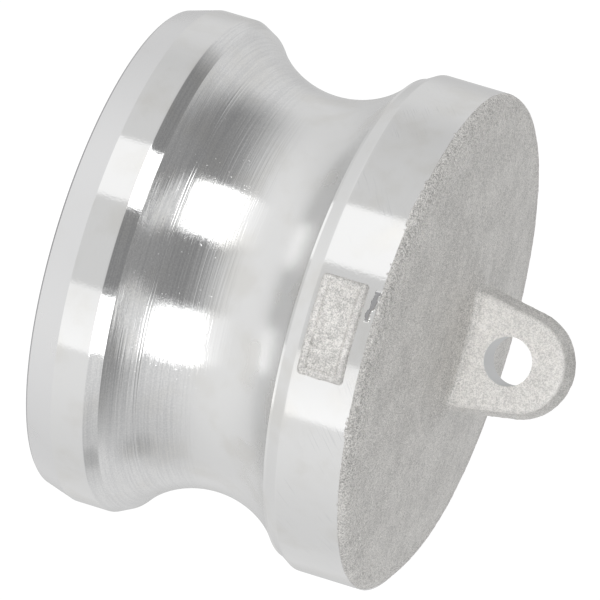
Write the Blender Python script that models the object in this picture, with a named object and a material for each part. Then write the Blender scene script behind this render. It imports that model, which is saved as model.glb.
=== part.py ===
"""Dust plug for a 2 inch cam-and-groove hose coupler.

The real plug is one aluminium casting.  A lathe then cuts its nose, its cam groove
and its collar, and the domed back, the drilled lug and the small raised tablet stay
as they left the mould.  So the model is one turned body, with the lug and the
tablet joined to it.

Metres, +Z up.  The plug stands on its open nose: the nose face lies in Z = 0, the
turning axis is the Z axis, and the flat sides of the lug face -Y and +Y.
"""

import math

import bmesh
import bpy
from mathutils import Matrix, Vector

# Turned nose: the ring that goes into the coupler and seals on its gasket
NOSE_FACE_DIAMETER = 0.0609
LAND_DIAMETER = 0.0630
LEAD_IN_LENGTH = 0.0038

# Cam groove: one round cut that the two cam arms of the coupler pull into
GROOVE_CENTRE_HEIGHT = 0.0205
GROOVE_BOTTOM_DIAMETER = 0.0507
GROOVE_RADIUS = 0.0138
LAND_EDGE_RADIUS = 0.0019
SHOULDER_RADIUS = 0.0027

# Collar: the turned band behind the groove, and the cast back that closes the plug
COLLAR_DIAMETER = 0.0632
COLLAR_END_HEIGHT = 0.0413
RIM_RADIUS = 0.00145
CROWN_RISE = 0.00185

# Cored hollow, open at the nose
MOUTH_DIAMETER = 0.0450
MOUTH_EDGE_RADIUS = 0.0012
HOLLOW_DRAFT = math.radians(1.5)
END_WALL = 0.0060
HOLLOW_FLOOR_RADIUS = 0.0040

# Lug on the back, with the hole for a chain or a lanyard
LUG_ROOT_WIDTH = 0.0166
LUG_RISE = 0.01475
LUG_END_RADIUS = 0.0069
LUG_THICKNESS = 0.0046
LUG_DRAFT_INSET = 0.0010
LUG_SIDEWAYS = -0.0006
LUG_ROOT_FILLET = 0.0009
LUG_HOLE_DIAMETER = 0.0061
LUG_HOLE_BELOW_TIP = 0.00805

# Raised tablet on the collar, bare inside its rim
TABLET_AROUND = 0.0127
TABLET_ALONG = 0.0058
TABLET_HEIGHT = 0.00045
TABLET_WALL_RUN = 0.00035
TABLET_RIM_WIDTH = 0.00055
TABLET_FIELD_DEPTH = 0.00020
TABLET_FROM_COLLAR_END = 0.0044
TABLET_AZIMUTH = math.radians(-2.2)

# Facets, and how deep a joined form reaches into the one that carries it
TURNED_FACETS = 72
GROOVE_FACETS = 14
EDGE_FACETS = 4
CROWN_FACETS = 5
LUG_END_FACETS = 18
HOLE_FACETS = 32
TABLET_FIELD_COLUMNS = 6
OVERLAP_DEPTH = 0.0008
FILLET_TUCK = 0.00005
MERGE_DISTANCE = 1e-7

# Radii and heights that follow from the sizes above
LAND_R = LAND_DIAMETER / 2
COLLAR_R = COLLAR_DIAMETER / 2
GROOVE_AXIS_R = GROOVE_BOTTOM_DIAMETER / 2 + GROOVE_RADIUS
CROWN_EDGE_R = COLLAR_R - RIM_RADIUS
CROWN_EDGE_Z = COLLAR_END_HEIGHT + RIM_RADIUS
CROWN_TOP_Z = CROWN_EDGE_Z + CROWN_RISE
CROWN_SPHERE_R = (CROWN_EDGE_R**2 + CROWN_RISE**2) / (2 * CROWN_RISE)
HOLLOW_FLOOR_Z = CROWN_TOP_Z - END_WALL
LUG_TIP_Z = CROWN_TOP_Z + LUG_RISE
LUG_END_CENTRE_Z = LUG_TIP_Z - LUG_END_RADIUS
LUG_HOLE_Z = LUG_TIP_Z - LUG_HOLE_BELOW_TIP
TABLET_CENTRE_Z = COLLAR_END_HEIGHT - TABLET_FROM_COLLAR_END


def arc(centre_r, centre_z, radius, start, end, steps):
    """Points on an arc in the (radius, height) plane; angles run from +r towards +z."""
    angles = [start + (end - start) * i / steps for i in range(steps + 1)]
    return [
        (centre_r + radius * math.cos(a), centre_z + radius * math.sin(a)) for a in angles
    ]


def groove_edge(side, edge_r, fillet):
    """Where a rounded edge of radius fillet blends the groove into a straight band.

    side is -1 for the nose land and +1 for the collar.  Gives the fillet's centre and
    the angle from that centre to the groove's axis.
    """
    centre_r = edge_r - fillet
    reach = GROOVE_RADIUS + fillet
    centre_z = GROOVE_CENTRE_HEIGHT + side * math.sqrt(
        reach**2 - (GROOVE_AXIS_R - centre_r) ** 2
    )
    to_axis = math.atan2(GROOVE_CENTRE_HEIGHT - centre_z, GROOVE_AXIS_R - centre_r)
    return centre_r, centre_z, to_axis


def crown_height(radius):
    """Height of the domed back at a distance from the axis."""
    sphere_centre = CROWN_TOP_Z - CROWN_SPHERE_R
    return sphere_centre + math.sqrt(CROWN_SPHERE_R**2 - radius**2)


def outer_profile():
    """The outside from the middle of the back, down over the collar, to the nose face."""
    points = []
    for i in range(CROWN_FACETS):
        radius = CROWN_EDGE_R * i / CROWN_FACETS
        points.append((radius, crown_height(radius)))
    points += arc(CROWN_EDGE_R, COLLAR_END_HEIGHT, RIM_RADIUS, math.pi / 2, 0, EDGE_FACETS)

    shoulder_r, shoulder_z, shoulder_turn = groove_edge(1, COLLAR_R, SHOULDER_RADIUS)
    points += arc(
        shoulder_r, shoulder_z, SHOULDER_RADIUS, 0, shoulder_turn, EDGE_FACETS + 1
    )
    land_r, land_z, land_turn = groove_edge(-1, LAND_R, LAND_EDGE_RADIUS)
    points += arc(
        GROOVE_AXIS_R,
        GROOVE_CENTRE_HEIGHT,
        GROOVE_RADIUS,
        math.pi + shoulder_turn,
        land_turn - math.pi + 2 * math.pi,
        GROOVE_FACETS,
    )[1:]
    points += arc(land_r, land_z, LAND_EDGE_RADIUS, land_turn, 0, EDGE_FACETS)[1:]
    points.append((LAND_R, LEAD_IN_LENGTH))
    points.append((NOSE_FACE_DIAMETER / 2, 0.0))
    return points


def hollow_profile():
    """The cored hollow from its rounded mouth, up its drafted wall, to the floor's middle."""
    mouth_r = MOUTH_DIAMETER / 2
    points = arc(
        mouth_r + MOUTH_EDGE_RADIUS,
        MOUTH_EDGE_RADIUS,
        MOUTH_EDGE_RADIUS,
        -math.pi / 2,
        -math.pi + HOLLOW_DRAFT,
        EDGE_FACETS,
    )
    wall_start_r, wall_start_z = points[-1]
    bend_z = HOLLOW_FLOOR_Z - HOLLOW_FLOOR_RADIUS
    wall_angle = math.pi / 2 - HOLLOW_DRAFT
    wall_end_z = bend_z + HOLLOW_FLOOR_RADIUS * math.cos(wall_angle)
    wall_end_r = wall_start_r - (wall_end_z - wall_start_z) * math.tan(HOLLOW_DRAFT)
    bend_r = wall_end_r - HOLLOW_FLOOR_RADIUS * math.sin(wall_angle)
    points += arc(
        bend_r, bend_z, HOLLOW_FLOOR_RADIUS, HOLLOW_DRAFT, math.pi / 2, EDGE_FACETS + 1
    )
    points.append((0.0, HOLLOW_FLOOR_Z))
    return points


def finish_object(name, mesh_data, material=None):
    """Turn a bmesh into an object of the scene, its faces outward and shaded round."""
    bmesh.ops.remove_doubles(mesh_data, verts=mesh_data.verts, dist=MERGE_DISTANCE)
    bmesh.ops.recalc_face_normals(mesh_data, faces=mesh_data.faces)
    mesh = bpy.data.meshes.new(name)
    mesh_data.to_mesh(mesh)
    mesh_data.free()
    mesh.shade_smooth()
    mesh.set_sharp_from_angle(angle=math.radians(30))
    if material:
        mesh.materials.append(material)
    new_object = bpy.data.objects.new(name, mesh)
    bpy.context.scene.collection.objects.link(new_object)
    return new_object


def lathe(name, profile, material=None):
    """Spin a (radius, height) profile once round the Z axis."""
    mesh_data = bmesh.new()
    verts = [mesh_data.verts.new((radius, 0, height)) for radius, height in profile]
    edges = [mesh_data.edges.new(pair) for pair in zip(verts, verts[1:])]
    bmesh.ops.spin(
        mesh_data,
        geom=verts + edges,
        axis=(0, 0, 1),
        cent=(0, 0, 0),
        angle=2 * math.pi,
        steps=TURNED_FACETS,
        use_merge=True,
    )
    return finish_object(name, mesh_data, material)


def loft(name, rings):
    """Skin a stack of rings with equally many points each, and close both ends."""
    mesh_data = bmesh.new()
    loops = [[mesh_data.verts.new(point) for point in ring] for ring in rings]
    for lower, upper in zip(loops, loops[1:]):
        for i in range(len(lower)):
            j = (i + 1) % len(lower)
            mesh_data.faces.new((lower[i], lower[j], upper[j], upper[i]))
    mesh_data.faces.new(list(reversed(loops[0])))
    mesh_data.faces.new(loops[-1])
    return finish_object(name, mesh_data)


def lug_side_lean():
    """Angle by which the lug's straight sides lean in, tangent to its round end."""
    half_root = LUG_ROOT_WIDTH / 2
    drop = LUG_END_CENTRE_Z - CROWN_TOP_Z
    reach = math.hypot(half_root, drop)
    return math.acos(LUG_END_RADIUS / reach) - math.atan2(drop, half_root)


def lug_half_width(height, inset):
    """Half width of the lug at a height on its straight sides."""
    lean = lug_side_lean()
    rise = height - LUG_END_CENTRE_Z
    return (LUG_END_RADIUS - inset - rise * math.sin(lean)) / math.cos(lean)


def lug_outline(inset, y):
    """The lug seen from the front: a round end on two leaning sides."""
    lean = lug_side_lean()
    root_z = CROWN_TOP_Z - OVERLAP_DEPTH
    root_x = lug_half_width(root_z, inset)
    outline = [(root_x, root_z)]
    outline += arc(
        0, LUG_END_CENTRE_Z, LUG_END_RADIUS - inset, lean, math.pi - lean, LUG_END_FACETS
    )
    outline.append((-root_x, root_z))
    return [Vector((LUG_SIDEWAYS + x, y, z)) for x, z in outline]


def make_lug():
    """The lug: widest at its mid plane, where the two halves of the mould met."""
    half = LUG_THICKNESS / 2
    rings = [
        lug_outline(LUG_DRAFT_INSET, -half),
        lug_outline(0, 0),
        lug_outline(LUG_DRAFT_INSET, half),
    ]
    return loft("join_lug", rings)


def make_lug_root():
    """The small fillet that runs round the foot of the lug."""
    corners = ((1, 0), (1, 1), (-1, 1), (-1, 0), (-1, -1), (1, -1))
    rings = []
    for step in range(-1, EDGE_FACETS + 1):
        rise = LUG_ROOT_FILLET * max(step, 0) / EDGE_FACETS
        flare = LUG_ROOT_FILLET - math.sqrt(
            LUG_ROOT_FILLET**2 - (LUG_ROOT_FILLET - rise) ** 2
        )
        height = CROWN_TOP_Z + rise
        ring = []
        for side, depth in corners:
            half = lug_half_width(height, LUG_DRAFT_INSET * abs(depth))
            x = LUG_SIDEWAYS + side * (half + flare - FILLET_TUCK)
            y = depth * (LUG_THICKNESS / 2 + flare - FILLET_TUCK)
            z = crown_height(math.hypot(x, y)) + (rise if step >= 0 else -OVERLAP_DEPTH)
            ring.append(Vector((x, y, z)))
        rings.append(ring)
    return loft("join_lug_root", rings)


def make_lug_hole():
    """The cutter for the lug's hole."""
    mesh_data = bmesh.new()
    across = Matrix.Translation((LUG_SIDEWAYS, 0, LUG_HOLE_Z))
    bmesh.ops.create_cone(
        mesh_data,
        cap_ends=True,
        segments=HOLE_FACETS,
        radius1=LUG_HOLE_DIAMETER / 2,
        radius2=LUG_HOLE_DIAMETER / 2,
        depth=2 * LUG_THICKNESS,
        matrix=across @ Matrix.Rotation(math.pi / 2, 4, "X"),
    )
    return finish_object("cut_lug_hole", mesh_data)


def tablet_stations(length, middle_columns):
    """Positions across the tablet: wall foot, rim, field, and the same mirrored."""
    inner = TABLET_WALL_RUN + TABLET_RIM_WIDTH
    near = [0, TABLET_WALL_RUN, inner, inner + TABLET_WALL_RUN]
    span = length - 2 * near[-1]
    middle = [near[-1] + span * i / middle_columns for i in range(1, middle_columns)]
    return near + middle + [length - d for d in reversed(near)]


def tablet_rise(edge_distance):
    """Height of the tablet's face over the collar at a distance from its outline."""
    inner = TABLET_WALL_RUN + TABLET_RIM_WIDTH
    if edge_distance < TABLET_WALL_RUN / 2:
        return -OVERLAP_DEPTH / 2
    if edge_distance < inner + TABLET_WALL_RUN / 2:
        return TABLET_HEIGHT
    return TABLET_HEIGHT - TABLET_FIELD_DEPTH


def make_tablet():
    """The raised tablet, wrapped round the collar: sloping walls, a rim, a sunk field."""
    around = tablet_stations(TABLET_AROUND, TABLET_FIELD_COLUMNS)
    along = tablet_stations(TABLET_ALONG, 1)
    mesh_data = bmesh.new()

    def place(u, v, radius):
        azimuth = TABLET_AZIMUTH + (u - TABLET_AROUND / 2) / COLLAR_R
        height = TABLET_CENTRE_Z + v - TABLET_ALONG / 2
        return mesh_data.verts.new(
            (radius * math.sin(azimuth), -radius * math.cos(azimuth), height)
        )

    face, foot = {}, {}
    for i, u in enumerate(around):
        for j, v in enumerate(along):
            edge_distance = min(u, TABLET_AROUND - u, v, TABLET_ALONG - v)
            face[i, j] = place(u, v, COLLAR_R + tablet_rise(edge_distance))
            foot[i, j] = place(u, v, COLLAR_R - OVERLAP_DEPTH)
    for i in range(len(around) - 1):
        for j in range(len(along) - 1):
            corners = ((i, j), (i + 1, j), (i + 1, j + 1), (i, j + 1))
            mesh_data.faces.new([face[c] for c in corners])
            mesh_data.faces.new([foot[c] for c in reversed(corners)])
    last_i, last_j = len(around) - 1, len(along) - 1
    border = [(i, 0) for i in range(last_i)]
    border += [(last_i, j) for j in range(last_j)]
    border += [(i, last_j) for i in range(last_i, 0, -1)]
    border += [(0, j) for j in range(last_j, 0, -1)]
    for a, b in zip(border, border[1:] + border[:1]):
        mesh_data.faces.new((face[b], face[a], foot[a], foot[b]))
    return finish_object("join_tablet", mesh_data)


def add_boolean(body, tool, operation):
    """Join a tool object to the body or cut it away, and hide the tool."""
    tool.hide_render = True
    tool.display_type = "WIRE"
    modifier = body.modifiers.new(tool.name, "BOOLEAN")
    modifier.operation = operation
    modifier.solver = "EXACT"
    modifier.object = tool


def cast_aluminium():
    """Bare aluminium, bright where it is turned."""
    material = bpy.data.materials.new("cast_aluminium")
    material.use_nodes = True
    shader = material.node_tree.nodes["Principled BSDF"]
    shader.inputs["Base Color"].default_value = (0.74, 0.74, 0.73, 1.0)
    shader.inputs["Metallic"].default_value = 1.0
    shader.inputs["Roughness"].default_value = 0.38
    return material


def main():
    for old in list(bpy.data.objects):
        bpy.data.objects.remove(old)
    body = lathe("plug_casting", outer_profile() + hollow_profile(), cast_aluminium())
    add_boolean(body, make_lug_root(), "UNION")
    add_boolean(body, make_lug(), "UNION")
    add_boolean(body, make_tablet(), "UNION")
    add_boolean(body, make_lug_hole(), "DIFFERENCE")


main()
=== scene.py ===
# %% [markdown]
# Camlock dust plug, 2 inch.
#
# The real plug is one aluminium casting. A lathe cuts its nose, its cam groove and its collar, so
# those are bright and carry fine rings. The domed back, the lug and the small raised tablet keep
# the grain of the sand mould. This file dresses the packed CAD model of the plug in that order:
# the camera and the light first, then the turned body, then the parts that stay as cast.
#
# The first cell loads the CAD model. It stays where it is, and each new piece is made in the same
# metres and the same axes: +Z runs from the open nose to the lug, and the tablet faces -Y.

# %% Load the CAD model
import math
import bmesh
import bpy
from mathutils import Matrix, Quaternion, Vector


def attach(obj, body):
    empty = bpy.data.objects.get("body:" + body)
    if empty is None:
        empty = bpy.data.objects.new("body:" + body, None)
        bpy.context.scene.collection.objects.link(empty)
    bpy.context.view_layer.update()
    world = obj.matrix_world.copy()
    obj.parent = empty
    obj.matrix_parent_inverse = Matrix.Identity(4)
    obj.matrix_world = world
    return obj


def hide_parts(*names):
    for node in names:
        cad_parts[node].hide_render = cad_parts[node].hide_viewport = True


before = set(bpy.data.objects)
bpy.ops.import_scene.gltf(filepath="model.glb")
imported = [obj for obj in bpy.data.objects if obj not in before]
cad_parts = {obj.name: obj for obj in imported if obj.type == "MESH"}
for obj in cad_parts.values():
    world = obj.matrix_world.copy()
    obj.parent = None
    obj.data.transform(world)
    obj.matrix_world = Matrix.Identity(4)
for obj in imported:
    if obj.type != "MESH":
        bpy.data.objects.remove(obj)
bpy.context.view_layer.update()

# %% [markdown]
# A photograph can only be matched from its own viewpoint. The camera was fitted to the outline of
# the plug: a very long lens, from the side and a little above. It is rolled on its own axis, because
# the standing plug lies over in the photo. A long lens a good way off keeps the near and the far rim
# almost the same size, as in a catalogue picture. Two helpers come first, because the lamps use them
# too: one gives a direction, and one turns an object to face it.

# %% Camera
MM = 0.001
CAMERA_LENS = 600.3
CAMERA_AZIMUTH = -6.0
CAMERA_ELEVATION = 15.429
CAMERA_ROLL = 106.81
CAMERA_DISTANCE = 1.2258
CAMERA_AIM = Vector((-0.119, 0.0, 23.319)) * MM


def direction(azimuth, elevation):
    """Unit vector: azimuth runs from -Y towards +X, elevation up from the floor, in degrees."""
    azimuth = math.radians(azimuth)
    elevation = math.radians(elevation)
    flat = math.cos(elevation)
    return Vector((math.sin(azimuth) * flat, -math.cos(azimuth) * flat, math.sin(elevation)))


def facing(towards, roll):
    """A turn that points an object's own Z this way and rolls it by some degrees."""
    return towards.to_track_quat("Z", "Y") @ Quaternion((0.0, 0.0, 1.0), math.radians(roll))


scene = bpy.context.scene
camera = bpy.data.objects.new("camera", bpy.data.cameras.new("camera"))
scene.collection.objects.link(camera)
to_camera = direction(CAMERA_AZIMUTH, CAMERA_ELEVATION)
camera_place = CAMERA_AIM + CAMERA_DISTANCE * to_camera
camera.matrix_world = Matrix.LocRotScale(camera_place, facing(to_camera, CAMERA_ROLL), None)
camera.data.lens = CAMERA_LENS
camera.data.clip_start = 0.05
camera.data.clip_end = 40.0
scene.camera = camera
scene.view_settings.view_transform = "Standard"
print("camera's place, m:", [round(c, 3) for c in camera_place])

# %% [markdown]
# Materials and shapes below are made of nodes. Wired one by one they take many lines, so one small
# class wraps a node's output. Python's operators on it add Math nodes, so a formula reads like a
# formula, and the method named node adds a node of any other type. Two more methods make masks:
# between is a soft step from 0 to 1, and band is 1 between two such steps.

# %% Nodes from expressions
class Wire:
    """One output of a node in a tree."""

    def __init__(self, tree, socket=None):
        self.tree = tree
        self.socket = socket

    def node(self, kind, settings=None, inputs=None):
        """Add a node. Its settings come first, then the values or links of its sockets."""
        made = self.tree.nodes.new(kind)
        for name, value in (settings or {}).items():
            setattr(made, name, value)
        for name, value in (inputs or {}).items():
            socket = next(s for s in made.inputs if s.enabled and s.name == name)
            for one in reversed(value) if isinstance(value, list) else [value]:
                if isinstance(one, Wire):
                    self.tree.links.new(one.socket, socket)
                else:
                    socket.default_value = one
        return Wire(self.tree, next((s for s in made.outputs if s.enabled), None))

    def __getitem__(self, name):
        """Another output of the same node."""
        outputs = self.socket.node.outputs
        return Wire(self.tree, next(s for s in outputs if s.enabled and s.name == name))

    def math(self, operation, *values):
        """A Math node on these values."""
        made = self.tree.nodes.new("ShaderNodeMath")
        made.operation = operation
        for socket, value in zip(made.inputs, values):
            if isinstance(value, Wire):
                self.tree.links.new(value.socket, socket)
            else:
                socket.default_value = value
        return Wire(self.tree, made.outputs[0])

    def __add__(self, other):
        return self.math("ADD", self, other)

    __radd__ = __add__

    def __sub__(self, other):
        return self.math("SUBTRACT", self, other)

    def __rsub__(self, other):
        return self.math("SUBTRACT", other, self)

    def __mul__(self, other):
        return self.math("MULTIPLY", self, other)

    __rmul__ = __mul__

    def __truediv__(self, other):
        return self.math("DIVIDE", self, other)

    def __rtruediv__(self, other):
        return self.math("DIVIDE", other, self)

    def __pow__(self, other):
        return self.math("POWER", self, other)

    def __neg__(self):
        return self.math("MULTIPLY", self, -1.0)

    def between(self, low, high):
        """0 below low, 1 above high, and a smooth step from one to the other."""
        return self.node(
            "ShaderNodeMapRange",
            {"interpolation_type": "SMOOTHSTEP"},
            {"Value": self, "From Min": low, "From Max": high},
        )

    def band(self, rise, fall):
        """1 between two smooth steps and 0 outside, with both ends of each step."""
        return self.between(*rise) * (1.0 - self.between(*fall))


def empty_tree(holder):
    """The cleared node tree of a material or a world, as a wire to build on."""
    holder.use_nodes = True
    holder.node_tree.nodes.clear()
    return Wire(holder.node_tree)


print("methods of a wire:", ", ".join(name for name in vars(Wire) if name[0] != "_"))

# %% [markdown]
# Bare metal has hardly any colour of its own. It shows the room, so the room is designed first:
# white below, pale behind and to the right, dark in front, to the left and above, with two upright
# softboxes. The white patches on the groove are these two boxes. The levels here are shares of
# white, and each pair of angles says where a change of level starts and ends, in degrees.

# %% Levels of the room
FLOOR_FRONT_LIGHT = 0.94
FLOOR_BACK_LIGHT = 0.79
FLOOR_TURN = (55, 140)
FLOOR_TO_ROOM = (-36, 24)
ROOM_DARK = 0.32
ROOM_RIGHT = 0.69
RIGHT_START = (10, 50)
RIGHT_GLOW = 0.20
RIGHT_GLOW_END = (50, 95)
ROOM_BACK = 0.735
BACK_START = (100, 127)
BACK_SIDES = 0.11
BACK_SIDES_RISE = (114, 130)
BACK_SIDES_FALL = (142, 160)
CEILING_LIGHT = 0.37
CEILING_START = (32, 62)
FAR_DIMMING = 0.2
FAR_START = (140, 172)
FAR_TOP = (-12, 8)
WHITE = (1.0, 1.0, 1.0, 1.0)
print("darkest and brightest level:", ROOM_DARK, FLOOR_FRONT_LIGHT)

# %% [markdown]
# The world holds the soft part of that light, as a formula on the direction of each ray. A formula
# needs no picture of a room, and each part of it can be changed alone while it is compared with the
# photo. It starts with the sides, adds the back and the ceiling, and fades into the floor below.

# %% World
world = bpy.data.worlds.new("studio")
scene.world = world
w = empty_tree(world)
ray = w.node("ShaderNodeTexCoord")["Generated"]
axes = w.node("ShaderNodeSeparateXYZ", None, {"Vector": ray})
azimuth = w.math("ARCTAN2", axes["X"], -axes["Y"]) * math.degrees(1)
elevation = w.math("ARCSINE", axes["Z"]) * math.degrees(1)
aside = w.math("ABSOLUTE", azimuth)
floor_light = FLOOR_BACK_LIGHT - FLOOR_FRONT_LIGHT
floor_light = FLOOR_FRONT_LIGHT + floor_light * aside.between(*FLOOR_TURN)
right_light = ROOM_RIGHT + RIGHT_GLOW * (1.0 - azimuth.between(*RIGHT_GLOW_END))
room_light = ROOM_DARK + (right_light - ROOM_DARK) * azimuth.between(*RIGHT_START)
room_light = room_light + (ROOM_BACK - room_light) * aside.between(*BACK_START)
room_light = room_light + (CEILING_LIGHT - room_light) * elevation.between(*CEILING_START)
room_light = room_light + BACK_SIDES * aside.band(BACK_SIDES_RISE, BACK_SIDES_FALL)
room_light = floor_light + (room_light - floor_light) * elevation.between(*FLOOR_TO_ROOM)
far_low = aside.between(*FAR_START) * (1.0 - elevation.between(*FAR_TOP))
room_light = room_light * (1.0 - FAR_DIMMING * far_low)
print("nodes for the plain room:", len(w.tree.nodes))

# %% [markdown]
# The land and the collar are straight, so they mirror one narrow height of the room, below the
# softboxes. Their two patches come from the first pair of dimmer windows, which reach lower. The
# second pair is above the softboxes and lights the steep start of the groove. One small dark spot,
# such as a tripod, gives the smear low in the groove. The camera itself sees plain white.

# %% Windows and the dark spot
LOWER_ENDS = ((-42, -4), (30, 42))
UPPER_ENDS = ((42, 50), (68, 80))
# left side, right side, softness of both, soft ends below and above, light
WINDOWS = (
    (-54.5, -26.0, 1.5, LOWER_ENDS, 0.52),
    (15.0, 45.0, 1.5, LOWER_ENDS, 0.39),
    (-62.0, -29.0, 4.0, UPPER_ENDS, 0.54),
    (19.0, 66.0, 4.0, UPPER_ENDS, 0.52),
)
SMEAR_DIRECTION = (108, 20)
SMEAR_OUTER = math.cos(math.radians(11))
SMEAR_INNER = math.cos(math.radians(2))
SMEAR_DIMMING = 0.17
for low, high, soft, ends, window_light in WINDOWS:
    sides = azimuth.band((low - soft, low + soft), (high - soft, high + soft))
    room_light = room_light + window_light * sides * elevation.band(*ends)
near = w.node("ShaderNodeVectorMath", {"operation": "DOT_PRODUCT"}, {"Vector": ray})
near.socket.node.inputs[1].default_value = direction(*SMEAR_DIRECTION)
room_light = room_light - SMEAR_DIMMING * near["Value"].between(SMEAR_OUTER, SMEAR_INNER)
seen = w.node("ShaderNodeLightPath")["Is Camera Ray"]
strength = room_light + (1.0 - room_light) * seen
background = w.node("ShaderNodeBackground", None, {"Color": WHITE, "Strength": strength})
w.node("ShaderNodeOutputWorld", None, {"Surface": background})
print("nodes in the world:", len(w.tree.nodes))

# %% [markdown]
# The two softboxes are area lamps. An area lamp shows in metal as an evenly lit rectangle, which
# is what gives the white patches their straight sides. Their size comes from how wide the patches
# are, and their power from the brightness that the metal should show: a lamp needs four watts for
# each square metre and each unit of brightness.

# %% Softboxes
BOX_EDGES = {"left": (-54.3, -24.4), "right": (17.5, 46.0)}
BOX_ROLL = {"left": 4.5, "right": -4.5}
BOX_DISTANCE = 1.0
BOX_BOTTOM = BOX_DISTANCE * math.tan(math.radians(-8.0))
BOX_TOP = BOX_DISTANCE * math.tan(math.radians(42.0))
BOX_RADIANCE = 1.4
POWER_PER_RADIANCE = 4.0
PLUG_MIDDLE = 20 * MM
for box_name, (low, high) in BOX_EDGES.items():
    lamp = bpy.data.lights.new("softbox_" + box_name, "AREA")
    lamp.shape = "RECTANGLE"
    lamp.size = 2 * BOX_DISTANCE * math.tan(math.radians(high - low) / 2)
    lamp.size_y = BOX_TOP - BOX_BOTTOM
    lamp.energy = POWER_PER_RADIANCE * lamp.size * lamp.size_y * BOX_RADIANCE
    box = bpy.data.objects.new(lamp.name, lamp)
    scene.collection.objects.link(box)
    towards = direction((low + high) / 2, 0.0)
    place = BOX_DISTANCE * towards
    place.z = PLUG_MIDDLE + (BOX_TOP + BOX_BOTTOM) / 2
    box.matrix_world = Matrix.LocRotScale(place, facing(towards, BOX_ROLL[box_name]), None)
    box.visible_camera = False
    print(lamp.name, "width, m:", round(lamp.size, 2), "power, W:", round(lamp.energy, 2))

# %% [markdown]
# The plug stands on its nose on a pale floor. For the camera the floor is almost all light of its
# own, so that it is white, and the small share that the lamps light keeps the plug's soft shadow.
# From below it is clear, so that the open nose can be looked into.

# %% Floor
HALF_FLOOR = 3.0
SHADOW_SHARE = 0.16
LAMPS_ON_FLOOR = 0.4
floor_mesh = bpy.data.meshes.new("floor")
floor_mesh.from_pydata(
    [(x * HALF_FLOOR, y * HALF_FLOOR, 0.0) for x, y in ((-1, -1), (1, -1), (1, 1), (-1, 1))],
    [],
    [(0, 1, 2, 3)],
)
floor = bpy.data.objects.new("floor", floor_mesh)
scene.collection.objects.link(floor)
floor.visible_glossy = False
floor.visible_shadow = False
floor_paint = bpy.data.materials.new("white_floor")
f = empty_tree(floor_paint)
lit = f.node("ShaderNodeBsdfDiffuse", None, {"Color": (SHADOW_SHARE,) * 3 + (1.0,)})
glow = f.node("ShaderNodeEmission", None, {"Strength": 1.0 - LAMPS_ON_FLOOR * SHADOW_SHARE})
both = f.node("ShaderNodeAddShader")
f.tree.links.new(lit.socket, both.socket.node.inputs[0])
f.tree.links.new(glow.socket, both.socket.node.inputs[1])
clear = f.node("ShaderNodeBsdfTransparent")
below = f.node("ShaderNodeNewGeometry")["Backfacing"]
surface = f.node("ShaderNodeMixShader", None, {"Fac": below})
f.tree.links.new(both.socket, surface.socket.node.inputs[1])
f.tree.links.new(clear.socket, surface.socket.node.inputs[2])
f.node("ShaderNodeOutputMaterial", None, {"Surface": surface})
floor_mesh.materials.append(floor_paint)
print("share of the floor that takes shadow:", SHADOW_SHARE)

# %% [markdown]
# Now the turned body. On the real plug a lathe cuts the slanted lead-in that finds the coupler's
# mouth, the straight land, the round groove that the two cams press into, and the collar that stops
# the plug. All sizes were measured from the photo against the 63.0 mm land, which the standard
# fixes. The groove meets the land and the collar in a flat chamfer, and the collar has a narrow
# step above the groove, because a form tool leaves them there.

# %% Sizes of the turned body
NOSE_FACE_RADIUS = 30.45 * MM
LAND_RADIUS = 31.5 * MM
NOSE_EDGE = 0.2 * MM
LEAD_IN_LENGTH = 3.8 * MM
GROOVE_CENTRE_HEIGHT = 20.5 * MM
GROOVE_BOTTOM_RADIUS = 25.35 * MM
GROOVE_RADIUS = 13.8 * MM
LAND_END = 8.0 * MM
LAND_CHAMFER_ROOT = 9.62 * MM
COLLAR_START = 33.3 * MM
COLLAR_CHAMFER_ROOT = 31.3 * MM
COLLAR_STEP = 0.28 * MM
CHAMFER_EDGE_RADIUS = 0.30 * MM
COLLAR_RADIUS = 31.6 * MM
COLLAR_END_HEIGHT = 41.3 * MM
TUCK_UP = 0.1 * MM
TUCK_IN = 0.4 * MM
RIM_RADIUS = 1.45 * MM
CROWN_RISE = 1.85 * MM
MOUTH_RADIUS = 22.5 * MM
MOUTH_EDGE_RADIUS = 1.2 * MM
HOLLOW_DRAFT = math.radians(1.5)
END_WALL = 6.0 * MM
HOLLOW_FLOOR_RADIUS = 4.0 * MM
TURNED_FACETS = 256
MERGE_DISTANCE = 0.0001 * MM
CROWN_EDGE_RADIUS = COLLAR_RADIUS - RIM_RADIUS
CROWN_TOP = COLLAR_END_HEIGHT + RIM_RADIUS + CROWN_RISE
CROWN_SPHERE = (CROWN_EDGE_RADIUS**2 + CROWN_RISE**2) / (2 * CROWN_RISE)
HOLLOW_FLOOR = CROWN_TOP - END_WALL
print("top of the domed back, mm:", round(CROWN_TOP / MM, 2))

# %% [markdown]
# The turned body is made in Geometry Nodes, so that its sizes are inputs with names and a later
# plug only needs other numbers. Three helpers serve every tree here: one opens a tree with its
# inputs, one runs it and keeps the result as a plain mesh, and one checks that a piece is closed.

# %% A tree with named inputs
SIZE_SOCKETS = {float: "NodeSocketFloat", int: "NodeSocketInt"}


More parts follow.
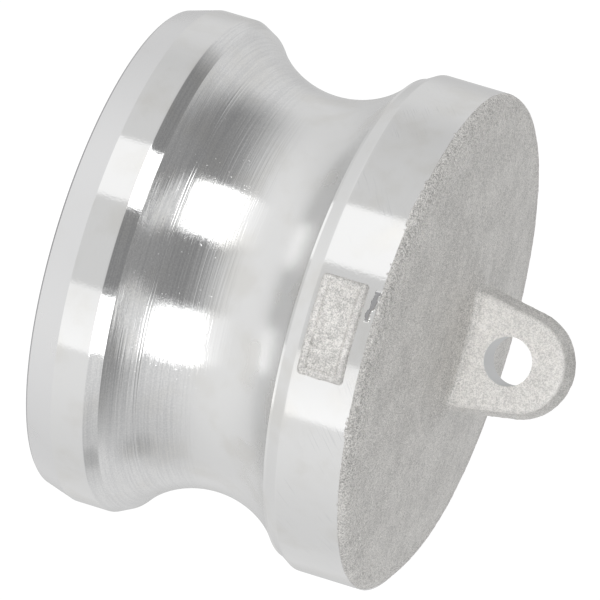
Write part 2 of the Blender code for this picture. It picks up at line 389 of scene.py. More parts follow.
def shape_tree(name, sizes):
    """A Geometry Nodes tree with one named input for each size, and its wires."""
    tree = bpy.data.node_groups.new(name, "GeometryNodeTree")
    tree.interface.new_socket("Geometry", in_out="OUTPUT", socket_type="NodeSocketGeometry")
    tree.interface.new_socket("Geometry", in_out="INPUT", socket_type="NodeSocketGeometry")
    for label, value in sizes.items():
        kind = SIZE_SOCKETS.get(type(value), "NodeSocketMaterial")
        socket = tree.interface.new_socket(label, in_out="INPUT", socket_type=kind)
        if kind != "NodeSocketMaterial":
            socket.default_value = value
    g = Wire(tree)
    entry = g.node("NodeGroupInput")
    sockets = [socket for socket in entry.socket.node.outputs if socket.name]
    return g, {socket.name: entry[socket.name] for socket in sockets}


print("kinds of size:", ", ".join(kind.__name__ for kind in SIZE_SOCKETS))

# %% [markdown]
# A modifier's inputs are set by their identifiers before anything is evaluated. The result is then
# copied into a plain mesh and the modifier goes, because the frame and the export want finished
# meshes. Each edge of a closed piece has exactly two faces, which is what the second helper counts.

# %% Run a tree and keep its mesh
def bake(name, tree, base, values):
    """Run a tree on a base mesh with these values, and keep the result as a plain mesh."""
    carrier = bpy.data.objects.new(name, base)
    scene.collection.objects.link(carrier)
    modifier = carrier.modifiers.new(tree.name, "NODES")
    modifier.node_group = tree
    for item in tree.interface.items_tree:
        if item.in_out == "INPUT" and item.name in values:
            modifier[item.identifier] = values[item.name]
    evaluated = carrier.evaluated_get(bpy.context.evaluated_depsgraph_get())
    mesh = bpy.data.meshes.new_from_object(evaluated)
    carrier.modifiers.remove(modifier)
    carrier.data = mesh
    mesh.name = name
    return carrier


def close_up(piece):
    """Merge doubles, turn the faces outward and report whether the piece is closed."""
    data = bmesh.new()
    data.from_mesh(piece.data)
    bmesh.ops.remove_doubles(data, verts=data.verts, dist=MERGE_DISTANCE)
    bmesh.ops.recalc_face_normals(data, faces=data.faces)
    open_edges = sum(1 for e in data.edges if not e.is_manifold)
    volume = data.calc_volume()
    triangles = sum(len(face.verts) - 2 for face in data.faces)
    data.to_mesh(piece.data)
    data.free()
    volume = round(volume / (10 * MM) ** 3, 2)
    print(piece.name, triangles, "triangles,", open_edges, "open edges,", volume, "cm3")


print("helpers ready:", bake.__name__, close_up.__name__)

# %% [markdown]
# A lathe works from one profile: half of the cross-section, as radius and height. This cell opens
# the tree with an input for each size. The profile is then put together from short stretches, each
# of them straight or round, as the tool would travel.

# %% Inputs of the lathe tree
turning_sizes = {
    "Nose Face Radius": NOSE_FACE_RADIUS,
    "Land Radius": LAND_RADIUS,
    "Lead In Length": LEAD_IN_LENGTH,
    "Nose Edge": NOSE_EDGE,
    "Groove Height": GROOVE_CENTRE_HEIGHT,
    "Groove Bottom Radius": GROOVE_BOTTOM_RADIUS,
    "Groove Radius": GROOVE_RADIUS,
    "Land End": LAND_END,
    "Land Chamfer Root": LAND_CHAMFER_ROOT,
    "Collar Start": COLLAR_START,
    "Collar Chamfer Root": COLLAR_CHAMFER_ROOT,
    "Collar Step": COLLAR_STEP,
    "Chamfer Edge Radius": CHAMFER_EDGE_RADIUS,
    "Collar Radius": COLLAR_RADIUS,
    "Collar End": COLLAR_END_HEIGHT + TUCK_UP,
    "Mouth Radius": MOUTH_RADIUS,
    "Mouth Edge Radius": MOUTH_EDGE_RADIUS,
    "Hollow Draft": HOLLOW_DRAFT,
    "Hollow Floor": HOLLOW_FLOOR,
    "Hollow Floor Radius": HOLLOW_FLOOR_RADIUS,
    "Facets": TURNED_FACETS,
}
g, size = shape_tree("turn_and_core", turning_sizes | {"Turned": None, "Cast": None})
print("inputs of the lathe tree:", len(size) - 1)

# %% [markdown]
# A curve's points become the rows of the turned skin, so each stretch says into how many rows it is
# cut: few on short straight ones, and many where light runs over a bend or along the hollow's
# wall. A stretch is kept as the values it needs, two points or an arc's centre, radius and angles,
# so that it can also be run the other way round.

# %% Stretches of a profile
ROWS = {
    "nose": 16,
    "nose edge": 2,
    "lead-in": 12,
    "land": 14,
    "groove edge": 5,
    "groove": 80,
    "collar": 24,
    "tuck up": 2,
    "tuck in": 3,
    "mouth": 16,
    "wall": 60,
    "bend": 16,
    "floor": 24,
}


def corner(r, z):
    """A profile point: the radius along X and the height along Y."""
    return g.node("ShaderNodeCombineXYZ", None, {"X": r, "Y": z})


def line(start, end, rows):
    """A straight stretch of the profile, cut into rows."""
    cut = g.node(
        "GeometryNodeCurvePrimitiveLine", {"mode": "POINTS"}, {"Start": start, "End": end}
    )
    return g.node("GeometryNodeResampleCurve", {"mode": "COUNT"}, {"Curve": cut, "Count": rows + 1})


def round_stretch(r, z, radius, start, end, rows):
    """An arc of the profile round the centre (r, z)."""
    cut = g.node(
        "GeometryNodeCurveArc",
        {"mode": "RADIUS"},
        {"Resolution": rows + 1, "Radius": radius, "Start Angle": start, "Sweep Angle": end - start},
    )
    return g.node("GeometryNodeTransform", None, {"Geometry": cut, "Translation": corner(r, z)})


def turned_back(piece):
    """The same stretch, run the other way."""
    if len(piece) == 2:
        return piece[1], piece[0]
    return piece[:3] + (piece[4], piece[3])


def stretch(piece, rows):
    """A straight or a round stretch, by the number of its values."""
    if len(piece) == 2:
        return line(*piece, rows)
    return round_stretch(*piece, rows)


print("rows of the finest stretch:", max(ROWS.values()))

# %% [markdown]
# The two edges of the groove take the most care, because they carry the thin bright lines of the
# photo. Each starts with a small round edge, goes on as a flat chamfer and ends on the groove's
# circle. The sums are written once and used on both sides, with a sign for the side.

# %% The edges of the groove
axis_r = size["Groove Bottom Radius"] + size["Groove Radius"]
groove_z = size["Groove Height"]
edge_radius = size["Chamfer Edge Radius"]


def groove_edge(band_radius, band_end, root_height, step, side):
    """From a straight band to the groove: a small round edge, a flat chamfer and a narrow step.

    Heights are counted from the middle of the groove towards the band, so that one sum serves
    both sides of it.
    """
    root_u = (root_height - groove_z) * side
    root_depth = (size["Groove Radius"] ** 2 - root_u**2) ** 0.5
    root_r = axis_r - root_depth
    band_u = (band_end - groove_z) * side
    chamfer = g.math("ARCTAN2", band_radius - root_r, band_u - root_u - step)
    trim = edge_radius * g.math("TANGENT", chamfer / 2)
    top_r = band_radius - trim * g.math("SINE", chamfer)
    top_u = band_u - trim * g.math("COSINE", chamfer)
    edge_z = groove_z + (band_u + trim) * side
    foot = corner(root_r, groove_z + (root_u + step) * side)
    pieces = [
        (band_radius - edge_radius, edge_z, edge_radius, 0.0, chamfer * -side),
        (corner(top_r, groove_z + top_u * side), foot),
        (foot, corner(root_r, root_height)),
    ]
    return pieces, edge_z, g.math("ARCTAN2", root_u, root_depth) * -side


land_edge, land_z, land_turn = groove_edge(
    size["Land Radius"], size["Land End"], size["Land Chamfer Root"], 0.0, -1
)
shoulder, collar_z, shoulder_turn = groove_edge(
    size["Collar Radius"], size["Collar Start"], size["Collar Chamfer Root"], size["Collar Step"], 1
)
print("nodes for both edges:", len(g.tree.nodes))

# %% [markdown]
# The outer profile runs from the mouth over the nose face, up the lead-in and the land, through
# the groove and up the collar. It closes under the cast back, where nobody sees it.

# %% The turned profile
mouth_centre = size["Mouth Radius"] + size["Mouth Edge Radius"]
nose_r = size["Nose Face Radius"]
edge = size["Nose Edge"]
lead_r = size["Land Radius"]
lead_z = size["Lead In Length"]
collar_r = size["Collar Radius"]
collar_end = size["Collar End"]
tuck = corner(collar_r - TUCK_IN, collar_end + TUCK_UP)
groove = (axis_r, groove_z, size["Groove Radius"], land_turn + math.pi, shoulder_turn + math.pi)
turned = [
    line(corner(mouth_centre, 0.0), corner(nose_r - edge, 0.0), ROWS["nose"]),
    line(corner(nose_r - edge, 0.0), corner(nose_r, edge), ROWS["nose edge"]),
    line(corner(nose_r, edge), corner(lead_r, lead_z), ROWS["lead-in"]),
    line(corner(lead_r, lead_z), corner(lead_r, land_z), ROWS["land"]),
]
turned += [stretch(piece, ROWS["groove edge"]) for piece in land_edge[:2]]
turned.append(stretch(groove, ROWS["groove"]))
turned += [stretch(turned_back(piece), ROWS["groove edge"]) for piece in reversed(shoulder)]
turned += [
    line(corner(collar_r, collar_z), corner(collar_r, collar_end), ROWS["collar"]),
    line(corner(collar_r, collar_end), tuck, ROWS["tuck up"]),
    line(tuck, corner(0.0, collar_end + TUCK_UP), ROWS["tuck in"]),
]
print("stretches of the turned profile:", len(turned))

# %% [markdown]
# Inside, the plug is a cored hollow: a round mouth edge, a wall with draft so that the core comes
# out of the casting, and a bend into a flat floor. The photo doesn't show it, so its sizes follow
# from a usual 6 mm wall for a casting of this size.

# %% The cored profile
draft = size["Hollow Draft"]
mouth_edge = size["Mouth Edge Radius"]
bend_radius = size["Hollow Floor Radius"]
floor_z = size["Hollow Floor"]
bend_z = floor_z - bend_radius
mouth_wall_r = mouth_centre - mouth_edge * g.math("COSINE", draft)
mouth_wall_z = mouth_edge - mouth_edge * g.math("SINE", draft)
wall_end_z = bend_z + bend_radius * g.math("SINE", draft)
wall_end_r = mouth_wall_r - (wall_end_z - mouth_wall_z) * g.math("TANGENT", draft)
bend_r = wall_end_r - bend_radius * g.math("COSINE", draft)
mouth = (mouth_centre, mouth_edge, mouth_edge, -math.pi / 2, draft - math.pi)
cored = [
    stretch(mouth, ROWS["mouth"]),
    line(corner(mouth_wall_r, mouth_wall_z), corner(wall_end_r, wall_end_z), ROWS["wall"]),
    stretch((bend_r, bend_z, bend_radius, draft, math.pi / 2), ROWS["bend"]),
    line(corner(bend_r, floor_z), corner(0.0, floor_z), ROWS["floor"]),
]
print("stretches of the cored profile:", len(cored))

# %% [markdown]
# To turn a profile into a skin, a flat grid gets one column for each facet and one row for each
# point of the profile, and every grid point is moved to its place round the axis. The length
# travelled along the profile is stored as the attribute feed, which the material uses to lay the
# tool's rings across the surface.

# %% Wrap a profile round the axis
def revolve(stretches, material):
    """Join stretches of the profile and wrap a grid of their points round the axis."""
    profile = g.node("GeometryNodeJoinGeometry", None, {"Geometry": stretches})
    count = g.node("GeometryNodeAttributeDomainSize", {"component": "CURVE"}, {"Geometry": profile})
    count = count["Point Count"]
    index = g.node("GeometryNodeInputIndex")
    place = g.node("GeometryNodeInputPosition")
    before = g.node(
        "GeometryNodeFieldAtIndex",
        {"data_type": "FLOAT_VECTOR", "domain": "POINT"},
        {"Index": g.math("MAXIMUM", index - 1, 0), "Value": place},
    )
    step = g.node("ShaderNodeVectorMath", {"operation": "DISTANCE"})
    g.tree.links.new(place.socket, step.socket.node.inputs[0])
    g.tree.links.new(before.socket, step.socket.node.inputs[1])
    travel = g.node(
        "GeometryNodeAccumulateField", {"data_type": "FLOAT", "domain": "POINT"}, {"Value": step["Value"]}
    )
    grid = g.node(
        "GeometryNodeMeshGrid", None, {"Vertices X": size["Facets"] + 1, "Vertices Y": count}
    )
    column = g.math("FLOOR", (index + 0.5) / count)
    row = index - column * count
    turn = column * (2 * math.pi) / size["Facets"]

    def sample(kind, value):
        return g.node(
            "GeometryNodeSampleIndex",
            {"data_type": kind, "domain": "POINT"},
            {"Geometry": profile, "Value": value, "Index": row},
        )

    flat = g.node("ShaderNodeSeparateXYZ", None, {"Vector": sample("FLOAT_VECTOR", place)})
    r = flat["X"]
    spun = g.node(
        "ShaderNodeCombineXYZ",
        None,
        {"X": r * g.math("COSINE", turn), "Y": r * g.math("SINE", turn), "Z": flat["Y"]},
    )
    marked = g.node(
        "GeometryNodeStoreNamedAttribute",
        {"data_type": "FLOAT", "domain": "POINT"},
        {"Geometry": grid, "Name": "feed", "Value": sample("FLOAT", travel)},
    )
    wrapped = g.node("GeometryNodeSetPosition", None, {"Geometry": marked, "Position": spun})
    return g.node("GeometryNodeSetMaterial", None, {"Geometry": wrapped, "Material": material})


print("wrapping helper ready:", revolve.__name__)

# %% [markdown]
# Both skins meet at the mouth. Joined and merged there, they are one closed shape that the lathe and
# the core leave between them. Its size can still be changed by the inputs of the tree.

# %% Both skins in one shape
SEAM_MERGE = 0.002 * MM
skins = [revolve(turned, size["Turned"]), revolve(cored, size["Cast"])]
whole = g.node("GeometryNodeJoinGeometry", None, {"Geometry": skins})
whole = g.node("GeometryNodeMergeByDistance", None, {"Geometry": whole, "Distance": SEAM_MERGE})
whole = g.node("GeometryNodeRealizeInstances", None, {"Geometry": whole})
g.node("NodeGroupOutput", None, {"Geometry": whole})
turning = g.tree
print("nodes in the lathe tree:", len(turning.nodes))

# %% [markdown]
# Turned aluminium is a mirror with fine rings. The rings stretch a highlight across them, so the
# metal is anisotropic, and a noise that is narrow along the feed and long round the ring gives the
# fine streaks. The rings are deeper in the groove than on the land, so masks along the height say
# where each mark belongs.

# %% Turned aluminium
TURNED_COLOUR = (0.765, 0.765, 0.762)
STAIN_COLOUR = (0.70, 0.69, 0.665)
STREAK_COLOUR = (0.57, 0.575, 0.585)
LEAD_COLOUR = (0.74, 0.74, 0.745)
# dark grey of the painted shade on the nose edge and in the low spot beside the tablet
PAINTED_SHADE_COLOUR = (0.34, 0.34, 0.35)
RING_WIDTH = 0.28 * MM
RING_LENGTH = 14.0 * MM
RING_DEPTH = 0.035 * MM
BAND_WIDTH = 1.1 * MM
BAND_LENGTH = 40.0 * MM
SMUDGE_SIZE = 6.0 * MM
NICK_SIZE = 0.4 * MM
NICK_DEPTH = 0.008 * MM
SPECKLE_SIZE = 0.2 * MM
HAZE_SIZE = 0.3 * MM
HAZE_DEPTH = 0.004 * MM
SCRATCH_WIDTH = 0.11 * MM
SCRATCH_LENGTH = 5.0 * MM
SCRATCH_SLANT = 35
# height, width and depth of each line that the tool left
TOOL_MARKS = (
    (12.85 * MM, 0.2 * MM, 0.02 * MM),
    (13.15 * MM, 0.2 * MM, 0.02 * MM),
    (17.7 * MM, 0.14 * MM, 0.008 * MM),
)
print("rings per mm:", round(MM / RING_WIDTH, 1))

# %% [markdown]
# Three more helpers name what a surface needs most: noise whose size is given in metres, a colour
# between two others, and a bump from a height. Each adds one node. The Mix node has several
# sockets of the same name, so its helper picks the ones in use.

# %% Noise, mixed colours and bumps
def noise(m, vector, size, detail=2.0, roughness=0.5):
    """Noise with features of about this size, in metres."""
    return m.node(
        "ShaderNodeTexNoise",
        None,
        {"Vector": vector, "Scale": 1.0 / size, "Detail": detail, "Roughness": roughness},
    )["Fac"]


def mix_colour(m, factor, first, second):
    """A colour between two, by a factor."""
    made = m.node("ShaderNodeMix", {"data_type": "RGBA"}, {"Factor": factor})
    ends = [s for s in made.socket.node.inputs if s.enabled and s.name in "AB"]
    for socket, value in zip(ends, (first, second)):
        if isinstance(value, Wire):
            m.tree.links.new(value.socket, socket)
        else:
            socket.default_value = (*value, 1.0)
    return Wire(m.tree, next(s for s in made.socket.node.outputs if s.enabled))


def bump(m, height, depth, normal=None):
    """Turn a height from 0 to 1 into a bump of this depth, in metres."""
    inputs = {"Height": height, "Distance": depth, "Strength": 1.0}
    if normal:
        inputs["Normal"] = normal
    return m.node("ShaderNodeBump", None, inputs)


print("texture helpers ready:", noise.__name__, mix_colour.__name__, bump.__name__)

# %% [markdown]
# The rings are noise on a stretched place: far along the ring and a little along the feed give the
# same value, so each blob becomes a thin line. Broader bands of the same kind vary the gloss, as a
# worn tool does, and a plain smudge stands for years of handling.

# %% Rings and streaks
BAND_LEVELS = (0.4, 0.6)
turned_aluminium = bpy.data.materials.new("turned_aluminium")
m = empty_tree(turned_aluminium)
spot = m.node("ShaderNodeTexCoord")["Object"]
feed = m.node("ShaderNodeAttribute", {"attribute_name": "feed"})["Fac"]
axes = m.node("ShaderNodeSeparateXYZ", None, {"Vector": spot})
along_ring = m.node(
    "ShaderNodeCombineXYZ",
    None,
    {"X": axes["X"] / RING_LENGTH, "Y": axes["Y"] / RING_LENGTH, "Z": feed / RING_WIDTH},
)
rings = noise(m, along_ring, 1.0, detail=3.0, roughness=0.62)
band_place = m.node(
    "ShaderNodeCombineXYZ",
    None,
    {"X": axes["X"] / BAND_LENGTH, "Y": axes["Y"] / BAND_LENGTH, "Z": feed / BAND_WIDTH},
)
bands = noise(m, band_place, 1.0, detail=2.0).between(*BAND_LEVELS)
smudge = noise(m, spot, SMUDGE_SIZE, detail=3.0)
height = axes["Z"]
print("length of one streak, mm:", RING_LENGTH / MM)

# %% [markdown]
# These masks split the turned surface by height: the slanted lead-in, the part of the groove where
# the tool dug in, and the smoother flank under the collar. The marks are nicks from handling, a
# fine speckle, and the lines that the tool left in the groove. A pair named levels says between
# which values of its noise a mark fades in.

# %% Zones and tool marks
LEAD_IN_END = (3.7 * MM, 3.9 * MM)
STREAKS_RISE = (7.9 * MM, 8.1 * MM)
STREAKS_FALL = (16 * MM, 21 * MM)
RINGS_RISE = (9.2 * MM, 10 * MM)
RINGS_FALL = (18 * MM, 30 * MM)
FLANK_RISE = (22 * MM, 28 * MM)
FLANK_FALL = (31 * MM, 31.4 * MM)
NICK_LEVELS = (0.70, 0.80)
SPECKLE_LEVELS = (0.62, 0.42)
SHALLOW_RINGS = 0.02
lead_in = 1.0 - height.between(*LEAD_IN_END)
machined = height.band(STREAKS_RISE, STREAKS_FALL)
in_groove = height.band(RINGS_RISE, RINGS_FALL)
flank = height.band(FLANK_RISE, FLANK_FALL)
nicks = noise(m, spot, NICK_SIZE, detail=1.0).between(*NICK_LEVELS) * in_groove
speckle = noise(m, spot, SPECKLE_SIZE, detail=1.0).between(*SPECKLE_LEVELS) * machined
marks = nicks * NICK_DEPTH
for mark_height, mark_width, mark_depth in TOOL_MARKS:
    off = m.math("ABSOLUTE", height - mark_height)
    marks = marks + mark_depth * (1.0 - off.between(0.0, mark_width / 2))
ring_share = SHALLOW_RINGS + (1.0 - SHALLOW_RINGS) * in_groove
normal = bump(m, rings * ring_share, RING_DEPTH)
normal = bump(m, noise(m, spot, HAZE_SIZE, detail=2.0), HAZE_DEPTH, normal)
normal = bump(m, marks, 1.0, normal)
print("tool lines in the groove:", len(TOOL_MARKS))

# %% [markdown]
# Handling leaves a few short slanted scratches on the collar. Beside the tablet the casting was a
# little low, so the lathe missed a small wedge of it and threw up a burr along its edge. Both are
# kept, because they say that this is a real casting and not a drawing.

# %% Scratches and the low spot
SCRATCHED_RISE = (33.4 * MM, 33.6 * MM)
SCRATCHED_PATCH = 7.0 * MM
SCRATCHED_LEVELS = (0.54, 0.6)
SCRATCH_LEVELS = (0.68, 0.78)
LOW_LEFT = (-13.2, -12.4)
LOW_RIGHT = (-6.2, -5.6)
LOW_EDGE_HEIGHT = 39.8 * MM
LOW_EDGE_SLOPE = 0.075 * MM
LOW_EDGE_RAGGED = 1.1 * MM
LOW_START = (-0.04 * MM, 0.04 * MM)
LOW_END = (0.45 * MM, 0.55 * MM)
LOW_DEPTH = 0.12 * MM
BURR_RISE = (0.45 * MM, 0.6 * MM)
BURR_FALL = (0.6 * MM, 0.75 * MM)
BURR_SHARE = 0.7
turn = m.math("ARCTAN2", axes["X"], -axes["Y"])
around = turn * LAND_RADIUS
slant = math.radians(SCRATCH_SLANT)
scratch_place = m.node(
    "ShaderNodeCombineXYZ",
    None,
    {
        "X": (around * math.sin(slant) - height * math.cos(slant)) / SCRATCH_WIDTH,
        "Y": (around * math.cos(slant) + height * math.sin(slant)) / SCRATCH_LENGTH,
    },
)
on_collar = height.between(*SCRATCHED_RISE)
scratched = noise(m, spot, SCRATCHED_PATCH, detail=0.0).between(*SCRATCHED_LEVELS) * on_collar
scratches = noise(m, scratch_place, 1.0, detail=0.0).between(*SCRATCH_LEVELS) * scratched
turn = turn * math.degrees(1)
beside_tablet = turn.band(LOW_LEFT, LOW_RIGHT)
ragged = (noise(m, spot, LOW_EDGE_RAGGED, detail=3.0) - 0.5) * LOW_EDGE_RAGGED
past_edge = height + ragged + LOW_EDGE_SLOPE * turn - LOW_EDGE_HEIGHT
burr = beside_tablet * past_edge.band(BURR_RISE, BURR_FALL)
low_spot = beside_tablet * past_edge.band(LOW_START, LOW_END)
normal = bump(m, BURR_SHARE * burr - low_spot, LOW_DEPTH, normal)
print("slant of the scratches, degrees:", SCRATCH_SLANT)

# %% [markdown]
# The colour starts from clean aluminium, is dulled a little in clouds, and gets greyer where the
# streaks and the speckle are. A dark painted shade runs along the nose edge, where the plug stands
# on the floor, and fills the low spot beside the tablet. The roughness is lowest in the groove,
# which is why the softboxes look crisp there. Each share below says how far a mark takes the
# colour, or how much rougher it makes the metal.

# %% The turned surface
STAIN_LEVELS = (0.45, 0.7)
STREAK_LEVELS = (0.42, 0.62)
STAIN_SHARE = 0.6
LEAD_IN_SHARE = 0.8
STREAK_SHARE = 0.3
SCRATCH_SHARE = 0.35
PAINTED_SHADE_SHARE = 0.8
NOSE_SHADE_END = (0.12 * MM, 0.3 * MM)
GROOVE_ROUGHNESS = 0.075
ROUGHER_FLANK = 0.17
ROUGHER_LEAD_IN = 0.15
ROUGHER_STAIN = 0.06
ROUGHER_BAND = 0.05
stained = smudge.between(*STAIN_LEVELS)
streaks = rings.between(*STREAK_LEVELS) * machined
# painted shade along the nose edge, where the plug meets the floor
painted_nose_shade = 1.0 - height.between(*NOSE_SHADE_END)
worn = STREAK_SHARE * (streaks + speckle) + SCRATCH_SHARE * scratches
colour = mix_colour(m, STAIN_SHARE * stained, TURNED_COLOUR, STAIN_COLOUR)
colour = mix_colour(m, LEAD_IN_SHARE * lead_in, colour, LEAD_COLOUR)
colour = mix_colour(m, worn, colour, STREAK_COLOUR)
# painted shade: the nose edge and the low spot's recess are darkened in colour
colour = mix_colour(m, PAINTED_SHADE_SHARE * (painted_nose_shade + low_spot), colour, PAINTED_SHADE_COLOUR)
roughness = GROOVE_ROUGHNESS + ROUGHER_FLANK * flank + ROUGHER_LEAD_IN * lead_in
roughness = roughness + ROUGHER_STAIN * stained + ROUGHER_BAND * bands * in_groove
turned_look = {
    "Base Color": colour,
    "Metallic": 1.0,
    "Roughness": roughness,
    "Anisotropic": 0.6,
    "Anisotropic Rotation": 0.25,
    "Normal": normal,
}
metal = m.node("ShaderNodeBsdfPrincipled", None, turned_look)
m.node("ShaderNodeOutputMaterial", None, {"Surface": metal})
print("nodes in the turned metal:", len(m.tree.nodes))

# %% [markdown]
# The back, the lug, the tablet and the hollow keep the skin of the sand mould: pale, matt and
# grainy, with darker pits between the grains. The grain is coarser on the rim, where the mould's
# two halves met. The rim, the lug's faces and the tablet get a painted highlight, a lighter tone, and
# the narrow wall round the lug gets painted shade. Masks by place say where each of these zones is.

# %% Cast aluminium
SAND_SIZE = 0.17 * MM
SAND_DEPTH = 0.30 * MM
PIT_SIZE = 0.7 * MM
PIT_DEPTH = 0.35 * MM
CLOUD_SIZE = 5.0 * MM
RIM_RADIUS_RISE = (26.5 * MM, 29.5 * MM)
RIM_HEIGHT_RISE = (40 * MM, 41 * MM)
TABLET_RADIUS_RISE = (31.45 * MM, 31.65 * MM)
TABLET_HEIGHT_FALL = (40.2 * MM, 40.6 * MM)
LUG_HEIGHT_RISE = (45.8 * MM, 47 * MM)
LUG_FACE_RISE = (1.75 * MM, 2.0 * MM)
cast_aluminium = bpy.data.materials.new("cast_aluminium")
m = empty_tree(cast_aluminium)
spot = m.node("ShaderNodeTexCoord")["Object"]
axes = m.node("ShaderNodeSeparateXYZ", None, {"Vector": spot})
grain = noise(m, spot, SAND_SIZE, detail=4.0, roughness=0.7)
pits = noise(m, spot, PIT_SIZE, detail=2.0)
cloud = noise(m, spot, CLOUD_SIZE, detail=3.0)
height = axes["Z"]
radius = m.math("SQRT", axes["X"] ** 2 + axes["Y"] ** 2)
on_rim = radius.between(*RIM_RADIUS_RISE) * height.between(*RIM_HEIGHT_RISE)
on_tablet = radius.between(*TABLET_RADIUS_RISE) * (1.0 - height.between(*TABLET_HEIGHT_FALL))
on_lug = height.between(*LUG_HEIGHT_RISE)
lug_wall = on_lug * (1.0 - m.math("ABSOLUTE", axes["Y"]).between(*LUG_FACE_RISE))
grain_depth = 0.5 + 1.2 * on_rim
pit_depth = 0.4 + 1.8 * on_rim
normal = bump(m, grain * grain_depth, SAND_DEPTH)
normal = bump(m, pits * pit_depth, PIT_DEPTH, normal)
print("nodes for the cast skin:", len(m.tree.nodes))

# %% [markdown]
# The colour runs from the pale sand skin to the grey of its pits. Four parts decide how grey a place
# is: the fine grain, the pits, the wide clouds, and the painted light and shade that each zone adds
# or takes off as a whole.

# %% The cast surface
CAST_COLOUR = (0.95, 0.934, 0.91)
CAST_SHADE = (0.46, 0.453, 0.44)
CAST_ROUGHNESS = 0.46
ROUGHER_GRAIN = 0.2
GRAIN_LEVELS = (0.64, 0.36)
PIT_LEVELS = (0.6, 0.4)
CLOUD_LEVELS = (0.62, 0.38)
CLOUD_SHARE = 0.12
grain_share = 0.75 - 0.15 * on_lug + 0.25 * on_rim
pit_share = 0.12 + 0.1 * on_tablet
# painted light: the lug's faces, the rim and the tablet are lightened, and the lug's side wall darkened
painted_light_by_zone = 0.3 * lug_wall - 0.19 * on_lug - 0.25 * on_rim - 0.05 * on_tablet
shade = grain_share * grain.between(*GRAIN_LEVELS) + pit_share * pits.between(*PIT_LEVELS)
shade = shade + CLOUD_SHARE * cloud.between(*CLOUD_LEVELS) + painted_light_by_zone
cast_look = {
    "Base Color": mix_colour(m, shade, CAST_COLOUR, CAST_SHADE),
    "Metallic": 1.0,
    "Roughness": CAST_ROUGHNESS + ROUGHER_GRAIN * grain,
    "Normal": normal,
}
metal = m.node("ShaderNodeBsdfPrincipled", None, cast_look)
m.node("ShaderNodeOutputMaterial", None, {"Surface": metal})
print("nodes in the cast metal:", len(m.tree.nodes))

# %% [markdown]
# With both metals made, the lathe tree can run. The finished piece rides on the root and replaces
# the one solid of the CAD model, which stands for the whole casting. Edges that turn by more than a
# few degrees stay crisp, and all others are shaded round.

# %% The turned body
BODY_CREASE = 7
BACK_CREASE = 40
TABLET_CREASE = 60


def finish(piece, sharp_angle):
    """Drop empty material slots, shade round with crisp edges, and file the piece in the frame."""
    for index in reversed(range(len(piece.data.materials))):
        if piece.data.materials[index] is None:
            piece.data.materials.pop(index=index)
    close_up(piece)
    piece.data.shade_smooth()
    piece.data.set_sharp_from_angle(angle=math.radians(sharp_angle))
    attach(piece, "root")
    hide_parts("plug_casting")


body = bake(
    "turned_body",
    turning,
    bpy.data.meshes.new("start"),
    {"Turned": turned_aluminium, "Cast": cast_aluminium},
)
finish(body, BODY_CREASE)

# %% [markdown]
# The cast back is a shallow dome with a round rim and a lug for a chain. The lug's faces and sides
# have draft: they lean in, so that the pattern can be drawn from the sand, and its root swells into
# the dome, because a sharp inner corner would tear as the metal cools. On one side the rim was
# ground down a little, where the gate was cut off.

# %% Sizes of the cast back
LUG_ROOT_WIDTH = 16.6 * MM
LUG_RISE = 14.75 * MM
LUG_END_RADIUS = 6.9 * MM
LUG_THICKNESS = 4.6 * MM
LUG_DRAFT_INSET = 1.0 * MM
LUG_SIDEWAYS = -0.5 * MM
LUG_ROOT_RISE = 1.1 * MM
LUG_ROOT_REACH = 4.2 * MM
LUG_HOLE_RADIUS = 3.05 * MM
LUG_HOLE_BELOW_TIP = 8.05 * MM
LUG_TIP = CROWN_TOP + LUG_RISE
LUG_END_CENTRE = LUG_TIP - LUG_END_RADIUS
LUG_HOLE_HEIGHT = LUG_TIP - LUG_HOLE_BELOW_TIP
BACK_SKIRT = 0.7 * MM
GATE_AZIMUTH = math.radians(12)
GATE_WIDTH = math.radians(26)
GATE_TRIM = 1.4 * MM
print("height of the lug's tip, mm:", round(LUG_TIP / MM, 2))

# %% [markdown]
# The back is built as a rough solid first. Its profile is spun round the axis: a short skirt that
# hides inside the turned collar, the quarter circle of the rim, and the crown, which is part of a
# large sphere. Straight pieces would show as facets, so both bends are cut fine.

# %% The profile of the back
SKIRT_POINTS = ((0.25 * MM, 0.0), (0.08 * MM, 0.35 * MM), (0.02 * MM, 0.5 * MM))
RIM_STEPS = 12
CROWN_STEPS = 24


def crown_height(radius):
    """Height of the domed back at a distance from the axis."""
    return CROWN_TOP - CROWN_SPHERE + math.sqrt(CROWN_SPHERE**2 - radius**2)


def back_profile():
    """From under the collar's edge, round the rim, over the dome to its middle."""
    skirt = COLLAR_END_HEIGHT - BACK_SKIRT
    points = [(0.0, skirt)]
    points += [(COLLAR_RADIUS - inside, skirt + above) for inside, above in SKIRT_POINTS]
    for i in range(RIM_STEPS + 1):
        a = math.pi / 2 * i / RIM_STEPS
        out = CROWN_EDGE_RADIUS + RIM_RADIUS * math.cos(a)
        points.append((out, COLLAR_END_HEIGHT + RIM_RADIUS * math.sin(a)))
    for i in reversed(range(CROWN_STEPS)):
        radius = CROWN_EDGE_RADIUS * i / CROWN_STEPS
        points.append((radius, crown_height(radius)))
    return points


def add_revolved(data, profile, facets):
    """Spin a (radius, height) profile round the Z axis in a mesh under construction."""
    verts = [data.verts.new((radius, 0, height)) for radius, height in profile]
    edges = [data.edges.new(pair) for pair in zip(verts, verts[1:])]
    bmesh.ops.spin(
        data,
        geom=verts + edges,
        axis=(0, 0, 1),
        cent=(0, 0, 0),
        angle=2 * math.pi,
        steps=facets,
        use_merge=True,
    )


print("points of the back's profile:", len(back_profile()))

# %% [markdown]
# The lug is lofted through three outlines: a full one in the middle and a smaller one at each face,
# which gives it its draft. Its sides lean so far that they touch the round end without a corner.
# The root is a stack of rings round the lug's foot. Each higher ring is closer to the lug, so
# together they make a hollow curve.

